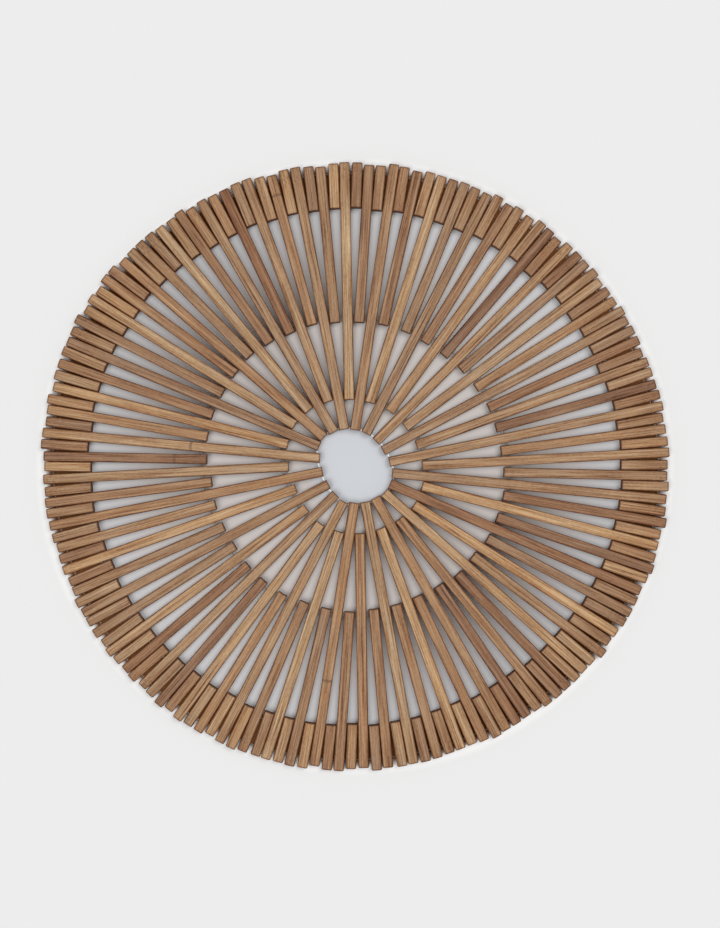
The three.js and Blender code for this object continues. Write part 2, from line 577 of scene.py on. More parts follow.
def grow(
    name: str,
    carrier: bpy.types.Mesh,
    tree: bpy.types.NodeTree,
    values: dict[str, Any],
    drop: Iterable[str] = (),
) -> bpy.types.Object:
    """Run a geometry tree on a mesh and keep the plain mesh that it makes.

    Args:
        name: Name of the finished piece.
        carrier: Mesh that the tree starts from.
        tree: The tree.
        values: Value for each of the tree's inputs.
        drop: Attributes that the finished mesh doesn't need.

    Returns:
        The finished piece, at the origin.
    """
    holder = bpy.data.objects.new(f"{name}_carrier", carrier)
    bpy.context.scene.collection.objects.link(holder)
    modifier = holder.modifiers.new("tree", "NODES")
    modifier.node_group = tree
    set_inputs(modifier, values)
    depsgraph = bpy.context.evaluated_depsgraph_get()
    mesh = bpy.data.meshes.new_from_object(
        holder.evaluated_get(depsgraph), preserve_all_data_layers=True, depsgraph=depsgraph
    )
    holder.modifiers.remove(modifier)
    bpy.data.objects.remove(holder)
    for attribute in drop:
        if attribute in mesh.attributes:
            mesh.attributes.remove(mesh.attributes[attribute])
    mesh.name = name
    piece = bpy.data.objects.new(name, mesh)
    bpy.context.scene.collection.objects.link(piece)
    return piece


# Finishes


@dataclass(frozen=True)
class Layer:
    """Layer of noise along a slat: how often it repeats per metre, and how it varies."""

    name: str
    stretch: tuple[float, float, float]
    shift: float
    detail: float


class ShaderGroups:
    """Shader node groups that more than one finish uses."""

    SEED_STEPS = (7.3, 3.1, 1.9)
    FIBRE_SHIFT = 91.0
    FIBRE_ROUGHNESS = 0.6
    CLOUD_ROUGHNESS = 0.5
    FIBRE_LAYERS = (("Fibres", 1.0, 3.0), ("Bands", 0.3, 1.0))
    CLOUD_LAYERS = (
        Layer("Clouds", (45.0, 190.0, 190.0), 57.0, 2.0),
        Layer("Flecks", (480.0, 1250.0, 1250.0), 33.0, 1.0),
    )
    SPECKLE_STRETCH = (260.0, 900.0, 900.0)

    def __init__(self) -> None:
        """Build each group once."""
        self.fibres = self._fibres()
        self.worn_edge = self._worn_edge()

    def _fibres(self) -> bpy.types.NodeTree:
        """Bamboo fibres that run along a slat, as four fields from 0 to 1.

        Returns:
            The group.
        """
        group = NodeGroup(
            "bamboo_fibres",
            "ShaderNodeTree",
            {
                "Grain": "Vector",
                "Seed": "Float",
                "Fibre Width": "Float",
                "Fibre Run": "Float",
            },
            {"Fibres": "Float", "Bands": "Float", "Clouds": "Float", "Flecks": "Float"},
        )
        tree, wiring, given = group.open()
        across = wiring.math("DIVIDE", 1.0, given["Fibre Width"])
        along = wiring.math("DIVIDE", 1.0, given["Fibre Run"])
        steps = [wiring.math("MULTIPLY", given["Seed"], step) for step in self.SEED_STEPS]
        start = wiring.joined(*steps)
        scale = wiring.joined(along, across, across)
        fine = wiring.vector("MULTIPLY", given["Grain"], scale)
        outputs = {}
        for name, share, detail in self.FIBRE_LAYERS:
            place = wiring.vector("MULTIPLY", fine, (share,) * 3)
            outputs[name] = self._noise(
                wiring, place, start, self.FIBRE_SHIFT, detail, self.FIBRE_ROUGHNESS
            )
        for layer in self.CLOUD_LAYERS:
            place = wiring.vector("MULTIPLY", given["Grain"], layer.stretch)
            outputs[layer.name] = self._noise(
                wiring, place, start, layer.shift, layer.detail, self.CLOUD_ROUGHNESS
            )
        wiring.add("NodeGroupOutput", outputs)
        return tree

    @staticmethod
    def _noise(
        wiring: Wiring, place: Any, start: Any, shift: float, detail: float, roughness: float
    ) -> Any:
        """Add noise that starts at another place on each slat.

        Args:
            wiring: The group's wiring.
            place: Socket with the stretched place on the slat.
            start: Socket with the slat's own start.
            shift: How far the slat's start moves this layer.
            detail: How many finer layers the noise has.
            roughness: How strong the finer layers are.

        Returns:
            The noise's socket.
        """
        shifted = wiring.vector("ADD", place, wiring.vector("MULTIPLY", start, (shift,) * 3))
        noise = wiring.add(
            "ShaderNodeTexNoise",
            {"Vector": shifted, "Scale": 1.0, "Detail": detail, "Roughness": roughness},
        )
        return noise.outputs[0]

    def _worn_edge(self) -> bpy.types.NodeTree:
        """Painted shade mask that rises from 0 to 1 towards a slat's edges, and is 1 on its
        sides.

        Returns:
            The group.
        """
        group = NodeGroup(
            "worn_edge",
            "ShaderNodeTree",
            {
                "Grain": "Vector",
                "To Tip": "Float",
                "Half Width": "Float",
                "Reach": "Float",
                "Outer Share": "Float",
                "Unevenness": "Float",
            },
            {"Edge": "Float"},
        )
        tree, wiring, given = group.open()
        along, across, _ = wiring.parts(given["Grain"])
        side_gap = wiring.math("SUBTRACT", given["Half Width"], wiring.math("ABSOLUTE", across))
        outer_gap = wiring.math("DIVIDE", along, given["Outer Share"])
        end_gap = wiring.math("MINIMUM", outer_gap, given["To Tip"])
        gap = wiring.math("MINIMUM", side_gap, end_gap)
        speckle = wiring.add(
            "ShaderNodeTexNoise",
            {
                "Vector": wiring.vector("MULTIPLY", given["Grain"], self.SPECKLE_STRETCH),
                "Scale": 1.0,
                "Detail": 2.0,
            },
        )
        uneven = wiring.math("SUBTRACT", speckle.outputs[0], 0.5)
        sway = wiring.math("MULTIPLY", uneven, given["Unevenness"])
        share = wiring.math("ADD", wiring.math("DIVIDE", gap, given["Reach"]), sway)
        edge = wiring.ramp(share, 1.0, 0.0)
        wiring.add("NodeGroupOutput", {"Edge": edge})
        return tree


@dataclass(frozen=True)
class PlanedBamboo:
    """Planed and oiled long faces of a slat, with painted shade on its edges and sides."""

    pale: tuple[float, float, float] = (173, 139.5, 103.5)
    dark: tuple[float, float, float] = (131, 94, 68)
    red_tint: tuple[float, float, float] = (1.08, 0.985, 0.87)
    knot_tone: tuple[float, float, float] = (96, 66, 45)
    # Painted shade on the edges and sides, and below it how far and how deep it reaches.
    edge_tone: tuple[float, float, float] = (0.4, 0.21, 0.1)
    tone_span: float = 2.6
    fibre_width: float = 0.5 * MM
    fibre_run: float = 30 * MM
    fibre_depth: float = 1.65
    band_depth: float = 0.5
    cloud_depth: float = 0.22
    fleck_depth: float = 0.34
    cloud_warmth: float = 0.3
    dark_warmth: float = 0.35
    weathered_to: float = 24 * MM
    weathered_fully: float = 4 * MM
    weathered_flecks: tuple[float, float] = (0.47, 0.6)
    weathered_slats: tuple[float, float] = (0.45, 0.8)
    weathering: float = 0.45
    red_warmth: float = 0.5
    knot_curve: float = 60.0
    knot_reach: tuple[float, float] = (1.3 * MM, 0.2 * MM)
    knot_depth: float = 0.6
    edge_reach: float = 0.95 * MM
    outer_reach: float = 1.35 * MM
    edge_depth: float = 0.95
    edge_unevenness: float = 0.7
    half_width: float = 2.9 * MM
    roughness: float = 0.65
    roughness_drop: float = 0.2
    bump_strength: float = 0.35
    bump_height: float = 0.12 * MM
    shine: float = 0.3

    def build(self, groups: ShaderGroups) -> bpy.types.Material:
        """Make the material.

        Args:
            groups: The shared node groups.

        Returns:
            The material.
        """
        material, wiring, shader = new_material("planed_bamboo")
        grain = read_attribute(wiring, "grain")
        seed = read_attribute(wiring, "seed", "Fac")
        tone = read_attribute(wiring, "tone", "Fac")
        blush = read_attribute(wiring, "blush", "Fac")
        knot = read_attribute(wiring, "knot", "Fac")
        fibres = wiring.add(
            "ShaderNodeGroup",
            node_tree=groups.fibres,
            inputs={
                "Grain": grain,
                "Seed": seed,
                "Fibre Width": self.fibre_width,
                "Fibre Run": self.fibre_run,
            },
        )
        tone_share = wiring.ramp(tone, -self.tone_span, self.tone_span, smooth=False)
        base = wiring.mix(tone_share, linear(*self.dark), linear(*self.pale))
        base = wiring.mix(blush, base, (*self.red_tint, 1.0), blend="MULTIPLY")
        light = 1.0
        for name, depth in (
            ("Fibres", self.fibre_depth),
            ("Bands", self.band_depth),
            ("Clouds", self.cloud_depth),
            ("Flecks", self.fleck_depth),
        ):
            centred = wiring.math("SUBTRACT", fibres.outputs[name], 0.5)
            light = wiring.math("MULTIPLY_ADD", centred, depth * 2, light)
        along, across, _ = wiring.parts(grain)
        near_rim = wiring.ramp(along, self.weathered_to, self.weathered_fully)
        spotted = wiring.ramp(fibres.outputs["Flecks"], *self.weathered_flecks)
        weathered = wiring.math("MULTIPLY", near_rim, wiring.ramp(seed, *self.weathered_slats))
        spots = wiring.math("MULTIPLY", weathered, spotted)
        loss = wiring.math("MULTIPLY", spots, self.weathering)
        light = wiring.math("MULTIPLY", light, wiring.math("SUBTRACT", 1.0, loss))
        cloud = wiring.math("SUBTRACT", fibres.outputs["Clouds"], 0.5)
        warmth = wiring.math("MULTIPLY", cloud, self.cloud_warmth)
        red_light = wiring.math("POWER", light, 1 - self.dark_warmth)
        blue_light = wiring.math("POWER", light, 1 + self.dark_warmth)
        red_share = wiring.math("MULTIPLY_ADD", warmth, self.red_warmth, 1.0)
        red = wiring.math("MULTIPLY", red_light, red_share)
        blue = wiring.math("MULTIPLY", blue_light, wiring.math("SUBTRACT", 1.0, warmth))
        shaded = wiring.mix(1.0, base, wiring.joined(red, light, blue), blend="MULTIPLY")
        squared = wiring.math("MULTIPLY", across, across)
        curved = wiring.math("MULTIPLY", squared, self.knot_curve)
        past_knot = wiring.math("SUBTRACT", along, wiring.math("ADD", knot, curved))
        knot_band = wiring.ramp(wiring.math("ABSOLUTE", past_knot), *self.knot_reach)
        knot_share = wiring.math("MULTIPLY", knot_band, self.knot_depth)
        knotted = wiring.mix(knot_share, shaded, linear(*self.knot_tone))
        # Painted shade: the long edges, the outer end's corners and the upright sides are
        # darkened.
        edge = wiring.add(
            "ShaderNodeGroup",
            node_tree=groups.worn_edge,
            inputs={
                "Grain": grain,
                "To Tip": read_attribute(wiring, "to_tip", "Fac"),
                "Half Width": self.half_width,
                "Reach": self.edge_reach,
                "Outer Share": self.outer_reach / self.edge_reach,
                "Unevenness": self.edge_unevenness,
            },
        )
        edge_share = wiring.math("MULTIPLY", edge.outputs["Edge"], self.edge_depth)
        colour = wiring.mix(edge_share, knotted, (*self.edge_tone, 1.0), blend="MULTIPLY")
        wiring.tree.links.new(colour, shader.inputs["Base Color"])
        grained = fibres.outputs["Fibres"]
        rough = wiring.math("MULTIPLY_ADD", grained, -self.roughness_drop, self.roughness)
        wiring.tree.links.new(rough, shader.inputs["Roughness"])
        bump = wiring.add(
            "ShaderNodeBump",
            {"Height": grained, "Strength": self.bump_strength, "Distance": self.bump_height},
        )
        wiring.tree.links.new(bump.outputs["Normal"], shader.inputs["Normal"])
        shader.inputs["Specular IOR Level"].default_value = self.shine
        return material


@dataclass(frozen=True)
class CutBamboo:
    """Sawn end faces and drilled holes, where the fibres show as dots."""

    pale: tuple[float, float, float] = (116, 86, 64)
    dark: tuple[float, float, float] = (52, 35, 25)
    dot_size: float = 0.45 * MM
    dot_reach: tuple[float, float] = (0.15, 0.5)
    dot_lift: float = 0.4
    roughness: float = 0.8
    bump_strength: float = 0.4
    bump_height: float = 0.1 * MM
    shine: float = 0.2

    def build(self, groups: ShaderGroups) -> bpy.types.Material:
        """Make the material.

        Args:
            groups: The shared node groups.

        Returns:
            The material.
        """
        material, wiring, shader = new_material("cut_bamboo")
        grain = read_attribute(wiring, "grain")
        seed = read_attribute(wiring, "seed", "Fac")
        fibres = wiring.add(
            "ShaderNodeGroup",
            node_tree=groups.fibres,
            inputs={
                "Grain": grain,
                "Seed": seed,
                "Fibre Width": self.dot_size,
                "Fibre Run": self.dot_size,
            },
        )
        dots = wiring.add(
            "ShaderNodeTexVoronoi",
            {"Vector": grain, "Scale": 1 / self.dot_size},
        )
        dot = wiring.ramp(dots.outputs["Distance"], *self.dot_reach)
        lifted = wiring.math("ADD", fibres.outputs["Fibres"], self.dot_lift)
        share = wiring.math("MULTIPLY", dot, lifted)
        colour = wiring.mix(share, linear(*self.dark), linear(*self.pale))
        wiring.tree.links.new(colour, shader.inputs["Base Color"])
        bump = wiring.add(
            "ShaderNodeBump",
            {"Height": share, "Strength": self.bump_strength, "Distance": self.bump_height},
        )
        wiring.tree.links.new(bump.outputs["Normal"], shader.inputs["Normal"])
        shader.inputs["Roughness"].default_value = self.roughness
        shader.inputs["Specular IOR Level"].default_value = self.shine
        return material


@dataclass(frozen=True)
class ClearNylon:
    """Clear, slightly milky line."""

    name: str = "clear_nylon"
    tint: tuple[float, float, float] = (176, 164, 152)
    haze: tuple[float, float, float] = (150, 138, 126)
    roughness: float = 0.2
    clearness: float = 0.75
    refraction: float = 1.53
    haze_scale: float = 420.0
    haze_detail: float = 2.0
    haze_reach: tuple[float, float] = (0.3, 0.7)
    haze_roughness: float = 0.12

    def build(self) -> bpy.types.Material:
        """Make the material.

        Returns:
            The material.
        """
        material, wiring, shader = new_material(self.name)
        place = wiring.add("ShaderNodeTexCoord").outputs["Object"]
        haze = wiring.add(
            "ShaderNodeTexNoise",
            {"Vector": place, "Scale": self.haze_scale, "Detail": self.haze_detail},
        )
        milky = wiring.ramp(haze.outputs[0], *self.haze_reach)
        colour = wiring.mix(milky, linear(*self.tint), linear(*self.haze))
        wiring.tree.links.new(colour, shader.inputs["Base Color"])
        rough = wiring.math("MULTIPLY_ADD", milky, self.haze_roughness, self.roughness)
        wiring.tree.links.new(rough, shader.inputs["Roughness"])
        shader.inputs["Transmission Weight"].default_value = self.clearness
        shader.inputs["IOR"].default_value = self.refraction
        return material


@dataclass(frozen=True)
class FloorRing:
    """Ring from which the floor has another tone: where it starts and where it is full."""

    start: float
    full: float
    tone: tuple[float, float, float]


@dataclass(frozen=True)
class FloorPaint:
    """Pale matt floor with painted shade and light in rings where the mat keeps light off it:
    painted shade in the open middle, under the slats and under the rim, and a painted brighter
    ring round the rim's edge.
    """

    # Painted shade: the open middle is cooler and darker than the floor outside.
    middle_tone: tuple[float, float, float] = (206, 209, 214)
    rings: tuple[FloorRing, ...] = (
        # Painted shade: warm grey under the slats from the innermost tips outwards.
        FloorRing(22 * MM, 32 * MM, (204, 198, 194)),
        # Painted shade: neutral grey under the slats further out.
        FloorRing(115 * MM, 155 * MM, (206, 205, 206)),
        # Painted shade: dark brown under the close-set rim, seen through its narrow gaps.
        FloorRing(163 * MM, 168 * MM, (140, 94, 58)),
        # Painted light: a brighter ring round the rim's edge that cancels its contact shadow.
        FloorRing(184.5 * MM, 188.5 * MM, (246, 246, 245)),
        # The plain floor outside the mat.
        FloorRing(190.5 * MM, 195.5 * MM, (235, 235, 235)),
    )
    depth_ratio: float = 0.966
    roughness: float = 0.9

    def build(self) -> bpy.types.Material:
        """Make the material.

        Returns:
            The material.
        """
        material, wiring, shader = new_material("floor_paint")
        place = wiring.add("ShaderNodeTexCoord").outputs["Object"]
        round_place = wiring.vector("MULTIPLY", place, (1.0, 1 / self.depth_ratio, 0.0))
        length = wiring.add("ShaderNodeVectorMath", {0: round_place}, operation="LENGTH")
        colour = linear(*self.middle_tone)
        for ring in self.rings:
            share = wiring.ramp(length.outputs["Value"], ring.start, ring.full)
            colour = wiring.mix(share, colour, linear(*ring.tone))
        wiring.tree.links.new(colour, shader.inputs["Base Color"])
        shader.inputs["Roughness"].default_value = self.roughness
        shader.inputs["Specular IOR Level"].default_value = 0.0
        return material


def new_material(name: str) -> tuple[bpy.types.Material, Wiring, bpy.types.Node]:
    """Make an empty material with one shader.

    Args:
        name: Name of the material.

    Returns:
        The material, its wiring and its Principled shader.
    """
    material = bpy.data.materials.new(name)
    material.use_nodes = True
    material.node_tree.nodes.clear()
    wiring = Wiring(material.node_tree)
    shader = wiring.add("ShaderNodeBsdfPrincipled")
    wiring.add("ShaderNodeOutputMaterial", {"Surface": shader.outputs[0]})
    return material, wiring, shader


def read_attribute(wiring: Wiring, name: str, output: str = "Vector") -> Any:
    """Read one of a mesh's own attributes in a material.

    Args:
        wiring: The material's wiring.
        name: Name of the attribute.
        output: Which output to take.

    Returns:
        The output's socket.
    """
    node = wiring.add("ShaderNodeAttribute", attribute_type="GEOMETRY", attribute_name=name)
    return node.outputs[output]


# Slats

OUTER_END = 0
INNER_END = len(LINES) + 1


@dataclass
class SlatPattern:
    """Pattern slat of one kind, along X with its outer end at the origin.

    Each of its points belongs to a station: an end or a line's hole. The slats' tree slides
    each station to its place on the slat, so the holes lie on the lines.
    """

    kind: SlatKind
    length: float
    width: float
    thickness: float
    stations: dict[int, float]
    rounding: float = 0.55 * MM
    outer_ease: float = 0.5 * MM
    inner_ease: float = 0.16 * MM
    least_rounding: float = 0.05 * MM
    hole_radius: float = 0.65 * MM
    hole_sides: int = 8

    def section(self, inset: float) -> list[tuple[float, float]]:
        """Rounded outline across the slat, with a point half-way up each side.

        Args:
            inset: How far the outline is drawn in.

        Returns:
            Points across and up, counter-clockwise seen from the outer end.
        """
        half = self.width / 2 - inset
        low, high = inset, self.thickness - inset
        ease = max(self.rounding - inset / 2, self.least_rounding)
        points = []
        corners = (
            (half - ease, high - ease, 0),
            (-half + ease, high - ease, 90),
            (-half + ease, low + ease, 180),
            (half - ease, low + ease, 270),
        )
        for y, z, start in corners:
            for turn in (0, 45, 90):
                bearing = math.radians(start + turn)
                points.append((y + ease * math.cos(bearing), z + ease * math.sin(bearing)))
        points.insert(6, (-half, self.thickness / 2))
        points.append((half, self.thickness / 2))
        return points

    def build(self) -> bpy.types.Object:
        """Make the pattern's mesh.

        Returns:
            The pattern, which is removed once the slats are made.
        """
        shape = bmesh.new()
        station_of = shape.verts.layers.int.new("station")
        nominal_of = shape.verts.layers.float.new("nominal")
        local_of = shape.verts.layers.float_vector.new("local")
        cut_of = shape.faces.layers.bool.new("cut_end")

        def point(station: int, at: float, x: float, y: float, z: float) -> bmesh.types.BMVert:
            """Add a point that belongs to a station.

            Args:
                station: Number of the station.
                at: The station's distance from the outer end.
                x: Distance outwards from the station.
                y: Place across the slat.
                z: Height.

            Returns:
                The point.
            """
            vert = shape.verts.new((x - at, y, z))
            vert[station_of] = station
            vert[nominal_of] = at
            vert[local_of] = (x, y, z)
            return vert

        def face(verts: Sequence[bmesh.types.BMVert], smooth: bool, cut: bool) -> None:
            """Add a face.

            Args:
                verts: Points around the face.
                smooth: Whether it is shaded smooth.
                cut: Whether it is an end face or a hole.
            """
            made = shape.faces.new(verts)
            made.smooth = smooth
            made[cut_of] = cut

        rings = []
        for station, at, ease, sign in (
            (OUTER_END, 0.0, self.outer_ease, -1),
            (INNER_END, self.length, self.inner_ease, 1),
        ):
            cap = [point(station, at, 0.0, y, z) for y, z in self.section(ease)]
            body = [point(station, at, sign * ease, y, z) for y, z in self.section(0.0)]
            face(cap, smooth=False, cut=True)
            for place in range(len(cap)):
                after = (place + 1) % len(cap)
                quad = (cap[place], cap[after], body[after], body[place])
                face(quad, smooth=True, cut=False)
            rings.append(body)
        outer, inner = rings
        self._long_faces(outer, inner, face)
        self._sides(outer, inner, point, face)
        bmesh.ops.recalc_face_normals(shape, faces=shape.faces)
        mesh = bpy.data.meshes.new(f"pattern_{self.kind.value}")
        shape.to_mesh(mesh)
        shape.free()
        pattern = bpy.data.objects.new(mesh.name, mesh)
        bpy.context.scene.collection.objects.link(pattern)
        return pattern

    @staticmethod
    def _long_faces(
        outer: Sequence[bmesh.types.BMVert],
        inner: Sequence[bmesh.types.BMVert],
        face: Callable[..., None],
    ) -> None:
        """Add the top, the underside and the rounded long edges.

        Args:
            outer: Points of the section near the outer end.
            inner: Points of the section near the inner end.
            face: Function that adds a face.
        """
        left_side, right_side = (5, 6), (12, 13)
        for place in range(len(outer)):
            if place in left_side or place in right_side:
                continue
            after = (place + 1) % len(outer)
            flat = place in (2, 9)
            quad = (outer[place], outer[after], inner[after], inner[place])
            face(quad, smooth=not flat, cut=False)

    def _sides(
        self,
        outer: Sequence[bmesh.types.BMVert],
        inner: Sequence[bmesh.types.BMVert],
        point: Callable[..., bmesh.types.BMVert],
        face: Callable[..., None],
    ) -> None:
        """Add the two upright sides, each in an upper and a lower half, and the holes.

        Args:
            outer: Points of the section near the outer end.
            inner: Points of the section near the inner end.
            point: Function that adds a point.
            face: Function that adds a face.
        """
        half_turn = self.hole_sides // 2
        middle = self.thickness / 2
        mouths: dict[int, list[list[Any]]] = {number: [] for number in self.stations}
        for sign, top, mid, bottom in ((1, 0, 13, 12), (-1, 5, 6, 7)):
            upper = [outer[mid]]
            lower = [outer[mid]]
            for number, at in sorted(self.stations.items(), key=lambda item: item[1]):
                mouth = []
                for step in range(self.hole_sides):
                    bearing = 2 * math.pi * step / self.hole_sides
                    x = self.hole_radius * math.cos(bearing)
                    z = middle + self.hole_radius * math.sin(bearing)
                    mouth.append(point(number + 1, at, x, sign * self.width / 2, z))
                mouths[number].append(mouth)
                upper += mouth[: half_turn + 1]
                lower += [mouth[0], *reversed(mouth[half_turn:])]
            upper += [inner[mid], inner[top], outer[top]]
            lower += [inner[mid], inner[bottom], outer[bottom]]
            face(upper, smooth=False, cut=False)
            face(lower, smooth=False, cut=False)
        for near, far in mouths.values():
            for step in range(self.hole_sides):
                after = (step + 1) % self.hole_sides
                face((near[step], near[after], far[after], far[step]), smooth=True, cut=True)


@dataclass
class SlatSet:
    """All the slats of one kind."""

    plan: MatPlan
    kind: SlatKind
    tree: bpy.types.NodeTree
    planed: bpy.types.Material
    cut: bpy.types.Material
    thickness_play: float = 0.05
    roll: float = math.radians(1.1)
    first_seed: int = 11
    tone_draws: tuple[int, int, int] = (11, 12, 13)
    tone_step: float = 0.92
    blush_draw: int = 14
    tone_shift: dict[SlatKind, float] = field(
        default_factory=lambda: {
            SlatKind.SHORT: 0.0,
            SlatKind.MEDIUM: -1.1,
            SlatKind.LONG: 1.65,
            SlatKind.LONGEST: -0.14,
        }
    )
    knots: dict[int, float] = field(
        default_factory=lambda: {47: 12.5 * MM, 77: 90 * MM, 79: 79 * MM, 117: 52 * MM}
    )

    def tone_of(self, slat: Slat) -> float:
        """Tone of a slat: 0 is the short slats' mean, and 1 a usual step paler."""
        chances = sum(self.plan.chance(slat.index, draw) for draw in self.tone_draws)
        return chances * self.tone_step + self.tone_shift[self.kind]

    def blush_of(self, slat: Slat) -> float:
        """How red a slat is, from 0 to 1."""
        return (1 + self.plan.chance(slat.index, self.blush_draw)) / 2

    def carrier(self, slats: Sequence[Slat]) -> bpy.types.Mesh:
        """Make the mesh whose points each carry a slat by its outer end.

        Args:
            slats: The slats of this kind.

        Returns:
            The mesh, with what the tree needs to know of each slat.
        """
        mesh = bpy.data.meshes.new(f"{self.kind.value}_ends")
        mesh.from_pydata([(*slat.outer_end, 0.0) for slat in slats], [], [])
        columns: dict[str, list[float]] = {
            "heading": [slat.heading for slat in slats],
            "width": [slat.width for slat in slats],
            "tone": [self.tone_of(slat) for slat in slats],
            "blush": [self.blush_of(slat) for slat in slats],
            "knot": [self.knots.get(slat.index, -1.0) for slat in slats],
            f"station_{INNER_END}": [slat.length for slat in slats],
        }
        for number in slats[0].stations:
            columns[f"station_{number + 1}"] = [slat.stations[number] for slat in slats]
        for name, values in columns.items():
            attribute = mesh.attributes.new(name, "FLOAT", "POINT")
            attribute.data.foreach_set("value", values)
        return mesh

    def build(self) -> bpy.types.Object:
        """Make the slats of this kind as one piece.

        Returns:
            The finished piece.
        """
        slats = [slat for slat in self.plan.slats() if slat.kind is self.kind]
        count = len(slats)
        pattern = SlatPattern(
            kind=self.kind,
            length=sum(slat.length for slat in slats) / count,
            width=self.plan.slat_width * MM,
            thickness=self.plan.slat_thickness * MM,
            stations={
                number: sum(slat.stations[number] for slat in slats) / count
                for number in slats[0].stations
            },
        )
        pattern_object = pattern.build()
        values = {
            "Pattern": pattern_object,
            "Pattern Width": pattern.width,
            "Thickness Play": self.thickness_play,
            "Roll": self.roll,
            "Seed": self.first_seed + 10 * list(SlatKind).index(self.kind),
            "Planed": self.planed,
            "Cut": self.cut,
        }
        helpers = ["station", "nominal", "local", "heading", "width", "cut_end"]
        helpers += [f"station_{number}" for number in range(INNER_END + 1)]
        piece = grow(f"{self.kind.value}_slats", self.carrier(slats), self.tree, values, helpers)
        bpy.data.objects.remove(pattern_object)
        return piece


